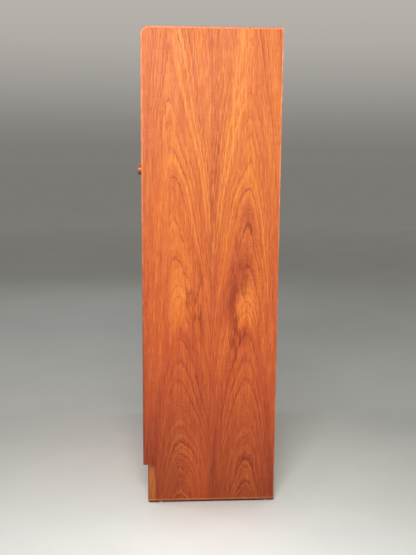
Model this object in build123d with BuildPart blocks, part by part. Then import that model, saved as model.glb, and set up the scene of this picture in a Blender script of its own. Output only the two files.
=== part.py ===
from build123d import *
import os
from math import atan, degrees, sqrt

# A double wardrobe in teak with two hinged doors, standing on a set-back plinth.
# Units are millimetres. +Z is up, the doors face -Y, and +X is on the right of someone facing the doors.
# The origin is at the centre of the whole object's footprint, on the floor.

# Driving dimensions -------------------------------------------------------------------------------

WIDTH = 1070.0
DEPTH = 521.0
HEIGHT = 1830.0

PANEL_T = 18.0
TOP_T = 20.0
SHELF_T = 16.0
BACK_T = 6.0
EDGE_T = 6.5
CORNER_R = 30.0
OUTER_ARRIS_R = 2.0
INNER_ARRIS_R = 1.0

GLIDE_H = 5.0
GLIDE_R = 7.5
PLINTH_TOP = 160.0
PLINTH_SETBACK = 19.0
PLINTH_T = 30.0
PLINTH_CORNER_R = 8.0
PLINTH_BACK_INSET = 42.0

REAR_LIPPING_T = 3.5
REBATE_W = 9.0
BACK_CLEARANCE = 0.5

DOOR_T = 18.0
DOOR_RECESS = 9.0
DOOR_GAP = 2.0
DOOR_LIPPING_T = 6.0
DOOR_ARRIS_R = 1.0
DOOR_TO_INTERIOR = 1.5

KNOB_Z = 1303.0
KNOB_FROM_MEETING_EDGE = 37.0
KNOB_R = 22.5
KNOB_NECK_R = 10.0
KNOB_PROJECTION = 35.0

HINGE_LENGTH = 63.0
HINGE_END_INSET = 170.0
BARREL_R = 3.0
PIN_R = 1.5
PIN_CLEARANCE = 0.05
LEAF_T = 1.6
LEAF_LET_IN = 0.8
LEAF_BEHIND_FACE = 15.0
KNUCKLES = 5
KNUCKLE_GAP = 0.2
BARREL_TO_DOOR = 0.3
LEAF_FROM_BARREL = 0.35
POCKET_CLEARANCE = 0.4
PIN_HEAD_H = 1.2

HAT_SHELF_Z = 1520.0
SHELF_BAY_WIDTH = 340.0
SHELF_LEVELS = {"lower_shelf": 500.0, "middle_shelf": 830.0, "upper_shelf": 1160.0}
SHELF_SETBACK = 12.0
SHELF_END_CLEARANCE = 1.0
PEG_R = 2.5
PEG_HOLE_DEPTH = 10.0
PEG_REACH = 9.0
PEG_COLLAR_R = 4.0
PEG_COLLAR_T = 0.8
PEG_PITCH = 32.0
PEG_ROWS_EACH_WAY = 2
PEG_EDGE_INSET = 50.0

RAIL_R = 9.5
RAIL_WALL = 1.2
RAIL_Z = 1455.0
SOCKET_FLANGE_R = 23.0
SOCKET_FLANGE_T = 3.0
SOCKET_CUP_R = 12.5
SOCKET_CUP_DEPTH = 13.0
SOCKET_SCREW_CIRCLE_R = 17.5

CATCH_LENGTH = 30.0
CATCH_DEPTH = 15.0
CATCH_HEIGHT = 18.0
CATCH_FOOT_LENGTH = 48.0
CATCH_FOOT_T = 3.0
CATCH_SCREW_DX = 19.5
CATCH_FROM_MEETING_EDGE = 62.0
CATCH_AIR_GAP = 0.3
MAGNET_FROM_BOARD = 10.0
POLE_PLATE_LENGTH = 20.0
POLE_PLATE_T = 1.6
POLE_PLATE_SPACING = 5.0
POLE_PLATE_PROUD = 0.6
STRIKE_LENGTH = 38.0
STRIKE_HEIGHT = 11.0
STRIKE_T = 1.6
STRIKE_SCREW_DX = 13.0

DOWEL_R = 4.0
DOWEL_LENGTH = 28.0
DOWEL_IN_SIDE = 12.0

# Planes and places that follow from them ----------------------------------------------------------

KNOB_OVERHANG = KNOB_PROJECTION - DOOR_RECESS
FRONT_Y = (KNOB_OVERHANG - DEPTH) / 2
BACK_Y = FRONT_Y + DEPTH
SIDE_OUT_X = WIDTH / 2
SIDE_IN_X = SIDE_OUT_X - PANEL_T
BETWEEN_SIDES = (-SIDE_IN_X, SIDE_IN_X)
TOP_UNDER_Z = HEIGHT - TOP_T
FLOOR_Z = PLINTH_TOP + PANEL_T
BACK_PANEL_Y = BACK_Y - BACK_T
REBATE_TOP_Z = TOP_UNDER_Z + TOP_T / 2
PLINTH_FRONT_Y = FRONT_Y + PLINTH_SETBACK
PLINTH_REAR_Y = PLINTH_FRONT_Y + PLINTH_T
PLINTH_BACK_RAIL_Y = BACK_Y - PLINTH_BACK_INSET - PANEL_T

DOOR_FACE_Y = FRONT_Y + DOOR_RECESS
DOOR_BACK_Y = DOOR_FACE_Y + DOOR_T
DOOR_BOTTOM_Z = FLOOR_Z + DOOR_GAP
DOOR_TOP_Z = TOP_UNDER_Z - DOOR_GAP
DOOR_OUTER_X = SIDE_IN_X - DOOR_GAP
DOOR_MEETING_X = DOOR_GAP / 2
INTERIOR_Y = DOOR_BACK_Y + DOOR_TO_INTERIOR

HINGE_X = SIDE_IN_X - DOOR_GAP / 2
HINGE_Y = DOOR_FACE_Y - BARREL_TO_DOOR - BARREL_R
HINGE_Z = {
    "bottom": DOOR_BOTTOM_Z + HINGE_END_INSET,
    "middle": (DOOR_BOTTOM_Z + DOOR_TOP_Z) / 2,
    "top": DOOR_TOP_Z - HINGE_END_INSET,
}
LEAF_END_Y = DOOR_FACE_Y + LEAF_BEHIND_FACE

BAY_LEFT_X = SIDE_IN_X - SHELF_BAY_WIDTH
DIVIDER_LEFT_X = BAY_LEFT_X - SHELF_T
RAIL_Y = (INTERIOR_Y + BACK_PANEL_Y) / 2
PEG_YS = (INTERIOR_Y + PEG_EDGE_INSET, BACK_PANEL_Y - PEG_EDGE_INSET)
CATCH_Y = DOOR_BACK_Y + STRIKE_T + CATCH_AIR_GAP + POLE_PLATE_PROUD
CATCH_X = DOOR_MEETING_X + CATCH_FROM_MEETING_EDGE
KNOB_X = DOOR_MEETING_X + KNOB_FROM_MEETING_EDGE

SIDES = {"left": -1, "right": 1}
PLUS_X = (1, 0, 0)
PLUS_Y = (0, 1, 0)
PLUS_Z = (0, 0, 1)
MINUS_X = (-1, 0, 0)
MINUS_Y = (0, -1, 0)
MINUS_Z = (0, 0, -1)
ON_BASE = (Align.CENTER, Align.CENTER, Align.MIN)


def outward(side):
    """The unit vector that points away from the wardrobe's middle on that side."""
    return (side, 0, 0)


def evenly(first, last, count):
    """count numbers spread evenly from first to last."""
    step = (last - first) / (count - 1)
    return [first + step * i for i in range(count)]


def planes(points, direction):
    """One plane at each point, whose normal is direction: where a hole is drilled, against its normal."""
    return [Plane(origin=point, z_dir=direction) for point in points]


def block(x_range, y_range, z_range, mode=Mode.ADD):
    """Inside a part: a plain board between the given ends, added or cut away."""
    (x0, x1), (y0, y1), (z0, z1) = sorted(x_range), sorted(y_range), sorted(z_range)
    with Locations(((x0 + x1) / 2, (y0 + y1) / 2, (z0 + z1) / 2)):
        Box(x1 - x0, y1 - y0, z1 - z0, mode=mode)


def outermost(edges, axis, side):
    """The edges that lie farthest along the axis: on its positive end for side 1, on its negative for -1."""
    return edges.group_by(axis)[-1 if side > 0 else 0]


def drill(points, direction, radius, depth):
    """Inside a part: a round hole at each point, whose mouth faces direction."""
    with Locations(*planes(points, direction)):
        Hole(radius, depth=depth)


# Fasteners ----------------------------------------------------------------------------------------


class Screw:
    """A slotted countersunk wood screw. Its head is flush with the plane that it is placed on."""

    def __init__(self, shank_r, length, head_r, head_h):
        self.shank_r, self.length, self.head_r, self.head_h = shank_r, length, head_r, head_h

    def solid(self):
        slot_width, slot_depth = self.head_r * 0.24, self.head_h * 0.4
        with BuildPart() as screw:
            with BuildSketch(Plane.XZ):
                with BuildLine():
                    Polyline(
                        (0, 0),
                        (self.head_r, 0),
                        (self.shank_r, -self.head_h),
                        (self.shank_r, -self.length + 2 * self.shank_r),
                        (0, -self.length),
                        close=True,
                    )
                make_face()
            revolve(axis=Axis.Z)
            with BuildSketch(Plane.XY):
                Rectangle(2 * self.head_r, slot_width)
            extrude(amount=-slot_depth, mode=Mode.SUBTRACT)
        return screw.part

    def seat(self, points, direction):
        """Inside a part: the hole that the screw's head and shank sit in, at each point."""
        with Locations(*planes(points, direction)):
            CounterSinkHole(self.shank_r, self.head_r, depth=self.length, counter_sink_angle=self.angle())

    def angle(self):
        """The full angle of the head's cone."""
        return 2 * degrees(atan((self.head_r - self.shank_r) / self.head_h))


HINGE_SCREW = Screw(shank_r=1.4, length=14.0, head_r=2.6, head_h=1.2)
BACK_SCREW = Screw(shank_r=1.5, length=22.0, head_r=3.2, head_h=1.9)
FITTING_SCREW = Screw(shank_r=1.5, length=13.0, head_r=3.0, head_h=1.6)
KNOB_SCREW = Screw(shank_r=2.0, length=34.0, head_r=4.2, head_h=2.4)


def screw_group(screw, places):
    """Screws placed at (points, direction) pairs, as one group of separate solids."""
    one = screw.solid()
    with BuildPart() as group:
        for points, direction in places:
            with Locations(*planes(points, direction)):
                add(one)
    return group


# Where things are fastened ------------------------------------------------------------------------

LEAF_SCREW_YS = (DOOR_FACE_Y + 5.0, DOOR_FACE_Y + 10.5)
LEAF_SCREW_DZ = 23.0


def hinge_screw_points(side, x):
    """Three staggered screws in each of a side's leaves, on the plane at that distance from the middle."""
    near, far = LEAF_SCREW_YS
    spread = ((near, -LEAF_SCREW_DZ), (far, 0.0), (near, LEAF_SCREW_DZ))
    return [(side * x, y, z + dz) for z in HINGE_Z.values() for y, dz in spread]


def at_y(points, y):
    """The same points, moved to the plane at that y."""
    return [(x, y, z) for x, _, z in points]


FRAME_LEAF_INNER_X = SIDE_IN_X + LEAF_LET_IN - LEAF_T
DOOR_LEAF_OUTER_X = DOOR_OUTER_X - LEAF_LET_IN + LEAF_T

DOWEL_YS = evenly(INTERIOR_Y + 45.0, BACK_PANEL_Y - 45.0, 4)
TOP_DOWEL_Z = TOP_UNDER_Z + 2 * DOWEL_R
BOTTOM_DOWEL_Z = PLINTH_TOP + PANEL_T / 2
HAT_DOWEL_Z = HAT_SHELF_Z + SHELF_T / 2
BACK_RAIL_DOWEL_ZS = (45.0, 115.0)
DIVIDER_X = DIVIDER_LEFT_X + SHELF_T / 2


def side_dowel_points(side, x):
    """Dowels that join a side panel to the top, the bottom, the hat shelf and the plinth's back rail."""
    across = [(side * x, y, z) for z in (TOP_DOWEL_Z, BOTTOM_DOWEL_Z, HAT_DOWEL_Z) for y in DOWEL_YS]
    rail = [(side * x, PLINTH_BACK_RAIL_Y + PANEL_T / 2, z) for z in BACK_RAIL_DOWEL_ZS]
    return across + rail


def divider_dowel_points(z):
    return [(DIVIDER_X, y, z) for y in DOWEL_YS[1:3]]


BACK_SCREW_X = SIDE_IN_X + REBATE_W / 2
BACK_SCREW_ZS = evenly(PLINTH_TOP + 60.0, TOP_UNDER_Z - 60.0, 6)
BACK_SCREW_XS = evenly(-SIDE_IN_X + 130.0, SIDE_IN_X - 130.0, 4)
SIDE_BACK_SCREWS = {side: [(side * BACK_SCREW_X, BACK_Y, z) for z in BACK_SCREW_ZS] for side in (-1, 1)}
TOP_BACK_SCREWS = [(x, BACK_Y, TOP_UNDER_Z + 5.0) for x in BACK_SCREW_XS]
BOTTOM_BACK_SCREWS = [(x, BACK_Y, BOTTOM_DOWEL_Z) for x in BACK_SCREW_XS]
ALL_BACK_SCREWS = SIDE_BACK_SCREWS[-1] + SIDE_BACK_SCREWS[1] + TOP_BACK_SCREWS + BOTTOM_BACK_SCREWS

PEG_ZS = [
    level - PEG_R + k * PEG_PITCH
    for level in SHELF_LEVELS.values()
    for k in range(-PEG_ROWS_EACH_WAY, PEG_ROWS_EACH_WAY + 1)
]
SIDE_PEG_HOLES = [(SIDE_IN_X, y, z) for y in PEG_YS for z in PEG_ZS]
DIVIDER_PEG_HOLES = [(BAY_LEFT_X, y, z) for y in PEG_YS for z in PEG_ZS]

RAIL_ENDS = {"left": (-SIDE_IN_X, 1), "right": (DIVIDER_LEFT_X, -1)}


def socket_screw_points(x):
    """Two screws in a rail socket's flange, above and below the rail."""
    return [(x, RAIL_Y, RAIL_Z + dz) for dz in (-SOCKET_SCREW_CIRCLE_R, SOCKET_SCREW_CIRCLE_R)]


CATCH_ENDS = {
    "bottom": {"board_z": FLOOR_Z, "into_room": 1},
    "top": {"board_z": TOP_UNDER_Z, "into_room": -1},
}


def catch_screw_points(side, end, above_board):
    """The two screws that hold a catch by its foot, at that height above the board that it sits on."""
    z = end["board_z"] + end["into_room"] * above_board
    y = CATCH_Y + CATCH_DEPTH / 2
    return [(side * CATCH_X + dx, y, z) for dx in (-CATCH_SCREW_DX, CATCH_SCREW_DX)]


def magnet_z(end):
    return end["board_z"] + end["into_room"] * MAGNET_FROM_BOARD


def strike_screw_points(side, y):
    """Two screws in each strike plate of a door, on the plane at that y."""
    return [
        (side * CATCH_X + dx, y, magnet_z(end))
        for end in CATCH_ENDS.values()
        for dx in (-STRIKE_SCREW_DX, STRIKE_SCREW_DX)
    ]


GLIDE_YS = (PLINTH_REAR_Y + 22.0, BACK_Y - 34.0)
GLIDE_NAIL_R = 1.2
GLIDE_NAIL_LENGTH = 14.0


def glide_points(side):
    return [(side * (SIDE_OUT_X - PANEL_T / 2), y, GLIDE_H) for y in GLIDE_YS]


# Carcase: sides -----------------------------------------------------------------------------------


def cut_hinge_pockets(side):
    """Inside a side: the shallow seats of the hinge leaves and the scoops that the barrels turn in."""
    scoop_length = HINGE_LENGTH + 2 * (PIN_HEAD_H + POCKET_CLEARANCE)
    for z in HINGE_Z.values():
        with Locations((side * HINGE_X, HINGE_Y, z)):
            Cylinder(BARREL_R + POCKET_CLEARANCE, scoop_length, mode=Mode.SUBTRACT)
        block(
            (side * SIDE_IN_X, side * (SIDE_IN_X + LEAF_LET_IN)),
            (HINGE_Y, LEAF_END_Y),
            (z - HINGE_LENGTH / 2, z + HINGE_LENGTH / 2),
            mode=Mode.SUBTRACT,
        )


def drill_back_screws(points):
    """Inside a board that the back panel is screwed to: the holes for the screws' shanks."""
    drill(at_y(points, BACK_PANEL_Y), PLUS_Y, BACK_SCREW.shank_r, BACK_SCREW.length - BACK_T)


def cut_back_rebate(side):
    """Inside a side: the rebate for the back panel, along the inner corner of the rear edge."""
    block(
        (side * SIDE_IN_X, side * (SIDE_IN_X + REBATE_W)),
        (BACK_PANEL_Y, BACK_Y),
        (PLINTH_TOP, REBATE_TOP_Z),
        mode=Mode.SUBTRACT,
    )


def side_panel(side):
    """The veneered board of one side, notched at the foot for the plinth, without its lippings."""
    front, rear = FRONT_Y + EDGE_T, BACK_Y - REAR_LIPPING_T
    top, bottom = HEIGHT - EDGE_T, GLIDE_H
    inner_r = CORNER_R - EDGE_T
    foot_front = (PLINTH_REAR_Y, bottom)
    notch_arc_start = (PLINTH_REAR_Y, PLINTH_TOP - PLINTH_CORNER_R)
    notch_arc_end = (PLINTH_REAR_Y - PLINTH_CORNER_R, PLINTH_TOP)
    with BuildPart() as panel:
        with BuildSketch(Plane.YZ.offset(min(side * SIDE_IN_X, side * SIDE_OUT_X))):
            with BuildLine():
                Line((front, PLINTH_TOP), (front, top - inner_r))
                RadiusArc((front, top - inner_r), (front + inner_r, top), inner_r)
                Polyline((front + inner_r, top), (rear, top), (rear, bottom), foot_front, notch_arc_start)
                RadiusArc(notch_arc_start, notch_arc_end, -PLINTH_CORNER_R)
                Line(notch_arc_end, (front, PLINTH_TOP))
            make_face()
        extrude(amount=PANEL_T)
        cut_hinge_pockets(side)
        cut_back_rebate(side)
        drill(side_dowel_points(side, SIDE_IN_X), outward(-side), DOWEL_R, DOWEL_IN_SIDE)
        drill_back_screws(SIDE_BACK_SCREWS[side])
        in_side = HINGE_SCREW.length - (SIDE_IN_X - FRAME_LEAF_INNER_X)
        drill(hinge_screw_points(side, SIDE_IN_X), outward(-side), HINGE_SCREW.shank_r, in_side)
        drill(glide_points(side), MINUS_Z, GLIDE_NAIL_R, GLIDE_NAIL_LENGTH)
        if side > 0:
            drill(SIDE_PEG_HOLES, MINUS_X, PEG_R, PEG_HOLE_DEPTH)
        else:
            drill(socket_screw_points(-SIDE_IN_X), PLUS_X, FITTING_SCREW.shank_r,
                  FITTING_SCREW.length - SOCKET_FLANGE_T)
    return panel


def side_edge_band(side):
    """The solid lipping that runs up a side's front edge, round the top corner and back along the top."""
    inner_r, arc_z, rear = CORNER_R - EDGE_T, HEIGHT - CORNER_R, BACK_Y - REAR_LIPPING_T
    with BuildPart() as band:
        with BuildSketch(Plane.YZ.offset(min(side * SIDE_IN_X, side * SIDE_OUT_X))):
            with BuildLine():
                Line((FRONT_Y, PLINTH_TOP), (FRONT_Y, arc_z))
                RadiusArc((FRONT_Y, arc_z), (FRONT_Y + CORNER_R, HEIGHT), CORNER_R)
                Line((FRONT_Y + CORNER_R, HEIGHT), (rear, HEIGHT))
                Line((rear, HEIGHT), (rear, HEIGHT - EDGE_T))
                Line((rear, HEIGHT - EDGE_T), (FRONT_Y + CORNER_R, HEIGHT - EDGE_T))
                RadiusArc((FRONT_Y + CORNER_R, HEIGHT - EDGE_T), (FRONT_Y + EDGE_T, arc_z), -inner_r)
                Line((FRONT_Y + EDGE_T, arc_z), (FRONT_Y + EDGE_T, PLINTH_TOP))
                Line((FRONT_Y + EDGE_T, PLINTH_TOP), (FRONT_Y, PLINTH_TOP))
            make_face()
        extrude(amount=PANEL_T)
        outline = outermost(band.faces().filter_by(Axis.X), Axis.X, side)[0].edges()
        front_edge = outline.filter_by(Axis.Z).sort_by(Axis.Y)[0]
        top_edge = outline.filter_by(Axis.Y).sort_by(Axis.Z)[-1]
        corner_edge = outline.filter_by(GeomType.CIRCLE).sort_by(SortBy.RADIUS)[-1]
        fillet([front_edge, corner_edge, top_edge], radius=OUTER_ARRIS_R)
        inner_outline = outermost(band.faces().filter_by(Axis.X), Axis.X, -side)[0].edges()
        fillet(inner_outline.filter_by(Axis.Z).sort_by(Axis.Y)[0], radius=INNER_ARRIS_R)
        cut_hinge_pockets(side)
    return band


def side_rear_lipping(side):
    """The thin solid strip up a side's rear edge, cut away on its inner side for the back panel."""
    with BuildPart() as lipping:
        block((side * SIDE_IN_X, side * SIDE_OUT_X), (BACK_Y - REAR_LIPPING_T, BACK_Y), (GLIDE_H, HEIGHT))
        rear_edges = lipping.edges().filter_by(Axis.Z).group_by(Axis.Y)[-1]
        fillet(outermost(rear_edges, Axis.X, side), radius=INNER_ARRIS_R)
        cut_back_rebate(side)
    return lipping


# Carcase: top, bottom, back -----------------------------------------------------------------------


def drill_side_dowels(z):
    """Inside a board that spans between the sides: the holes for the dowels at both of its ends."""
    for side in SIDES.values():
        points = [point for point in side_dowel_points(side, SIDE_IN_X) if point[2] == z]
        drill(points, outward(side), DOWEL_R, DOWEL_LENGTH - DOWEL_IN_SIDE)


def drill_catch_screws(end):
    """Inside the top or the bottom panel: the holes for the screws of the catches that sit on it."""
    for side in SIDES.values():
        drill(catch_screw_points(side, end, 0), (0, 0, end["into_room"]), FITTING_SCREW.shank_r,
              FITTING_SCREW.length - CATCH_FOOT_T)


def top_panel():
    with BuildPart() as panel:
        block(BETWEEN_SIDES, (FRONT_Y + CORNER_R, BACK_Y), (TOP_UNDER_Z, HEIGHT))
        block(BETWEEN_SIDES, (BACK_PANEL_Y, BACK_Y), (TOP_UNDER_Z, REBATE_TOP_Z), mode=Mode.SUBTRACT)
        drill_side_dowels(TOP_DOWEL_Z)
        drill_catch_screws(CATCH_ENDS["top"])
        drill_back_screws(TOP_BACK_SCREWS)
    return panel


def top_nosing():
    """The solid nosing along the top's front edge, which carries the sides' round corners across."""
    rear_y, arc_z = FRONT_Y + CORNER_R, HEIGHT - CORNER_R
    under_y = rear_y - sqrt(CORNER_R**2 - (TOP_UNDER_Z - arc_z) ** 2)
    with BuildPart() as nosing:
        with BuildSketch(Plane.YZ.offset(-SIDE_IN_X)):
            with BuildLine():
                RadiusArc((under_y, TOP_UNDER_Z), (rear_y, HEIGHT), CORNER_R)
                Polyline((rear_y, HEIGHT), (rear_y, TOP_UNDER_Z), (under_y, TOP_UNDER_Z))
            make_face()
        extrude(amount=2 * SIDE_IN_X)
    return nosing


def bottom_panel():
    with BuildPart() as panel:
        block(BETWEEN_SIDES, (FRONT_Y + EDGE_T, BACK_PANEL_Y), (PLINTH_TOP, FLOOR_Z))
        drill_side_dowels(BOTTOM_DOWEL_Z)
        drill_catch_screws(CATCH_ENDS["bottom"])
        drill_back_screws(BOTTOM_BACK_SCREWS)
        drill(divider_dowel_points(FLOOR_Z), PLUS_Z, DOWEL_R, DOWEL_IN_SIDE)
    return panel


def bottom_front_lipping():
    with BuildPart() as lipping:
        block(BETWEEN_SIDES, (FRONT_Y, FRONT_Y + EDGE_T), (PLINTH_TOP, FLOOR_Z))
        fillet(lipping.edges().filter_by(Axis.X).group_by(Axis.Y)[0], radius=INNER_ARRIS_R)
    return lipping


def back_panel():
    half_width = SIDE_IN_X + REBATE_W - BACK_CLEARANCE
    with BuildPart() as panel:
        block((-half_width, half_width), (BACK_PANEL_Y, BACK_Y), (PLINTH_TOP, REBATE_TOP_Z - BACK_CLEARANCE))
        BACK_SCREW.seat(ALL_BACK_SCREWS, PLUS_Y)
    return panel


# Plinth -------------------------------------------------------------------------------------------


def plinth_front_rail():
    """The thick front board of the plinth. Its ends show at the sides, in the rounded notches."""
    arc_start = (PLINTH_REAR_Y - PLINTH_CORNER_R, PLINTH_TOP)
    arc_end = (PLINTH_REAR_Y, PLINTH_TOP - PLINTH_CORNER_R)
    with BuildPart() as rail:
        with BuildSketch(Plane.YZ.offset(-SIDE_OUT_X)):
            with BuildLine():
                Polyline((PLINTH_FRONT_Y, GLIDE_H), (PLINTH_FRONT_Y, PLINTH_TOP), arc_start)
                RadiusArc(arc_start, arc_end, PLINTH_CORNER_R)
                Polyline(arc_end, (PLINTH_REAR_Y, GLIDE_H), (PLINTH_FRONT_Y, GLIDE_H))
            make_face()
        extrude(amount=WIDTH)
        fillet(rail.edges().filter_by(Axis.Z).group_by(Axis.Y)[0], radius=INNER_ARRIS_R)
    return rail


def plinth_back_rail():
    with BuildPart() as rail:
        block(BETWEEN_SIDES, (PLINTH_BACK_RAIL_Y, PLINTH_BACK_RAIL_Y + PANEL_T), (GLIDE_H, PLINTH_TOP))
        for z in BACK_RAIL_DOWEL_ZS:
            drill_side_dowels(z)
    return rail


def plinth_glue_blocks():
    """Three-cornered blocks glued under the bottom panel, behind the front rail and against the sides."""
    leg, length = 30.0, 90.0
    corner_z, low_z = PLINTH_TOP, PLINTH_TOP - leg
    with BuildPart() as blocks:
        for x in evenly(-SIDE_IN_X + 160.0, SIDE_IN_X - 160.0, 3):
            with BuildSketch(Plane.YZ.offset(x - length / 2)):
                Polygon((PLINTH_REAR_Y, corner_z), (PLINTH_REAR_Y + leg, corner_z), (PLINTH_REAR_Y, low_z),
                        align=None)
            extrude(amount=length)
        for side in SIDES.values():
            wall, tip = side * SIDE_IN_X, side * (SIDE_IN_X - leg)
            for y in evenly(PLINTH_REAR_Y + 110.0, PLINTH_BACK_RAIL_Y - 70.0, 2):
                with BuildSketch(Plane.XZ.offset(-y - length / 2)):
                    Polygon((wall, corner_z), (tip, corner_z), (wall, low_z), align=None)
                extrude(amount=length)
    return blocks


def floor_glides():
    """Nail-on glides under the side panels."""
    with BuildPart() as one:
        Cylinder(GLIDE_R, GLIDE_H, align=ON_BASE)
        fillet(one.edges().filter_by(GeomType.CIRCLE).sort_by(Axis.Z)[0], radius=GLIDE_H / 3)
        with Locations((0, 0, GLIDE_H)):
            Cylinder(GLIDE_NAIL_R, GLIDE_NAIL_LENGTH, align=ON_BASE)
    with BuildPart() as glides:
        for side in SIDES.values():
            with Locations(*[(x, y, 0) for x, y, _ in glide_points(side)]):
                add(one.part)
    return glides


# Inside -------------------------------------------------------------------------------------------


def divider_panel():
    with BuildPart() as panel:
        block((DIVIDER_LEFT_X, BAY_LEFT_X), (INTERIOR_Y, BACK_PANEL_Y), (FLOOR_Z, HAT_SHELF_Z))
        fillet(panel.edges().filter_by(Axis.Z).group_by(Axis.Y)[0], radius=INNER_ARRIS_R)
        drill(DIVIDER_PEG_HOLES, PLUS_X, PEG_R, PEG_HOLE_DEPTH)
        drill(socket_screw_points(DIVIDER_LEFT_X), MINUS_X, FITTING_SCREW.shank_r,
              FITTING_SCREW.length - SOCKET_FLANGE_T)
        drill(divider_dowel_points(FLOOR_Z), MINUS_Z, DOWEL_R, DOWEL_LENGTH - DOWEL_IN_SIDE)
        drill(divider_dowel_points(HAT_SHELF_Z), PLUS_Z, DOWEL_R, DOWEL_LENGTH - DOWEL_IN_SIDE)
    return panel


def hat_shelf():
    with BuildPart() as shelf:
        block(BETWEEN_SIDES, (INTERIOR_Y, BACK_PANEL_Y), (HAT_SHELF_Z, HAT_SHELF_Z + SHELF_T))
        fillet(shelf.edges().filter_by(Axis.X).group_by(Axis.Y)[0], radius=INNER_ARRIS_R)
        drill_side_dowels(HAT_DOWEL_Z)
        drill(divider_dowel_points(HAT_SHELF_Z), MINUS_Z, DOWEL_R, DOWEL_IN_SIDE)
    return shelf


def loose_shelf(level):
    """One of the adjustable shelves. It lies on four pegs."""
    x_range = (BAY_LEFT_X + SHELF_END_CLEARANCE, SIDE_IN_X - SHELF_END_CLEARANCE)
    y_range = (INTERIOR_Y + SHELF_SETBACK, BACK_PANEL_Y - SHELF_END_CLEARANCE)
    with BuildPart() as shelf:
        block(x_range, y_range, (level, level + SHELF_T))
        fillet(shelf.edges().filter_by(Axis.X).group_by(Axis.Y)[0], radius=INNER_ARRIS_R)
    return shelf


def shelf_pegs():
    """Round pegs with a thin collar, four to a shelf."""
    with BuildPart() as one:
        Cylinder(PEG_R, PEG_HOLE_DEPTH + PEG_REACH, align=ON_BASE)
        fillet(one.edges().filter_by(GeomType.CIRCLE), radius=PEG_R / 4)
        with Locations((0, 0, PEG_HOLE_DEPTH)):
            Cylinder(PEG_COLLAR_R, PEG_COLLAR_T, align=ON_BASE)
    with BuildPart() as pegs:
        for level in SHELF_LEVELS.values():
            z = level - PEG_R
            on_side = [(SIDE_IN_X + PEG_HOLE_DEPTH, y, z) for y in PEG_YS]
            on_divider = [(BAY_LEFT_X - PEG_HOLE_DEPTH, y, z) for y in PEG_YS]
            with Locations(*planes(on_side, MINUS_X), *planes(on_divider, PLUS_X)):
                add(one.part)
    return pegs


def hanging_rail():
    end_gap = SOCKET_FLANGE_T + 0.5
    start, stop = -SIDE_IN_X + end_gap, DIVIDER_LEFT_X - end_gap
    with BuildPart() as rail:
        with BuildSketch(Plane.YZ.offset(start)):
            with Locations((RAIL_Y, RAIL_Z)):
                Circle(RAIL_R)
                Circle(RAIL_R - RAIL_WALL, mode=Mode.SUBTRACT)
        extrude(amount=stop - start)
    return rail


def rail_socket(x, into_room):
    """A round flange with a cup that holds one end of the rail, on the board at x."""
    base = Plane(origin=(x, RAIL_Y, RAIL_Z), x_dir=PLUS_Y, z_dir=outward(into_room))
    with BuildPart() as socket:
        with BuildSketch(base):
            Circle(SOCKET_FLANGE_R)
        extrude(amount=SOCKET_FLANGE_T)
        rim = outermost(socket.edges().filter_by(GeomType.CIRCLE), Axis.X, into_room)
        fillet(rim, radius=SOCKET_FLANGE_T / 2)
        with BuildSketch(base.offset(SOCKET_FLANGE_T)):
            Circle(SOCKET_CUP_R)
            Circle(RAIL_R, mode=Mode.SUBTRACT)
        extrude(amount=SOCKET_CUP_DEPTH)
        FITTING_SCREW.seat(socket_screw_points(x + into_room * SOCKET_FLANGE_T), outward(into_room))
    return socket


def pole_plate_places(side):
    """The middle of the rear end of each steel pole plate: two to a catch, one above the other."""
    return [
        (side * CATCH_X, CATCH_Y + CATCH_DEPTH, magnet_z(end) + dz)
        for end in CATCH_ENDS.values()
        for dz in (-POLE_PLATE_SPACING / 2, POLE_PLATE_SPACING / 2)
    ]


def door_catches(side):
    """The two magnetic catches of one door, on the bottom panel and under the top."""
    with BuildPart() as catches:
        for end in CATCH_ENDS.values():
            base = Plane(origin=(side * CATCH_X, CATCH_Y + CATCH_DEPTH / 2, end["board_z"]), x_dir=PLUS_X,
                         z_dir=(0, 0, end["into_room"]))
            with BuildSketch(base):
                RectangleRounded(CATCH_FOOT_LENGTH, CATCH_DEPTH, radius=4.0)
            extrude(amount=CATCH_FOOT_T)
            with BuildSketch(base):
                RectangleRounded(CATCH_LENGTH, CATCH_DEPTH, radius=1.5)
            extrude(amount=CATCH_HEIGHT)
        for end in CATCH_ENDS.values():
            FITTING_SCREW.seat(catch_screw_points(side, end, CATCH_FOOT_T), (0, 0, end["into_room"]))
        for place in pole_plate_places(side):
            with BuildSketch(Plane(origin=place, x_dir=PLUS_X, z_dir=MINUS_Y)):
                Rectangle(POLE_PLATE_LENGTH, POLE_PLATE_T)
            extrude(amount=CATCH_DEPTH, mode=Mode.SUBTRACT)
    return catches


def catch_pole_plates():
    with BuildPart() as plates:
        for side in SIDES.values():
            for place in pole_plate_places(side):
                with BuildSketch(Plane(origin=place, x_dir=PLUS_X, z_dir=MINUS_Y)):
                    Rectangle(POLE_PLATE_LENGTH, POLE_PLATE_T)
                extrude(amount=CATCH_DEPTH + POLE_PLATE_PROUD)
    return plates


def carcase_dowels():
    with BuildPart() as one:
        Cylinder(DOWEL_R, DOWEL_LENGTH, align=ON_BASE)
        chamfer(one.edges().filter_by(GeomType.CIRCLE), length=0.8)
    with BuildPart() as dowels:
        for side in SIDES.values():
            inner_ends = side_dowel_points(side, SIDE_IN_X + DOWEL_IN_SIDE - DOWEL_LENGTH)
            with Locations(*planes(inner_ends, outward(side))):
                add(one.part)
        lower_ends = divider_dowel_points(FLOOR_Z - DOWEL_IN_SIDE)
        upper_ends = divider_dowel_points(HAT_SHELF_Z + DOWEL_IN_SIDE - DOWEL_LENGTH)
        with Locations(*planes(lower_ends + upper_ends, PLUS_Z)):
            add(one.part)
    return dowels


# Hinges -------------------------------------------------------------------------------------------


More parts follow.
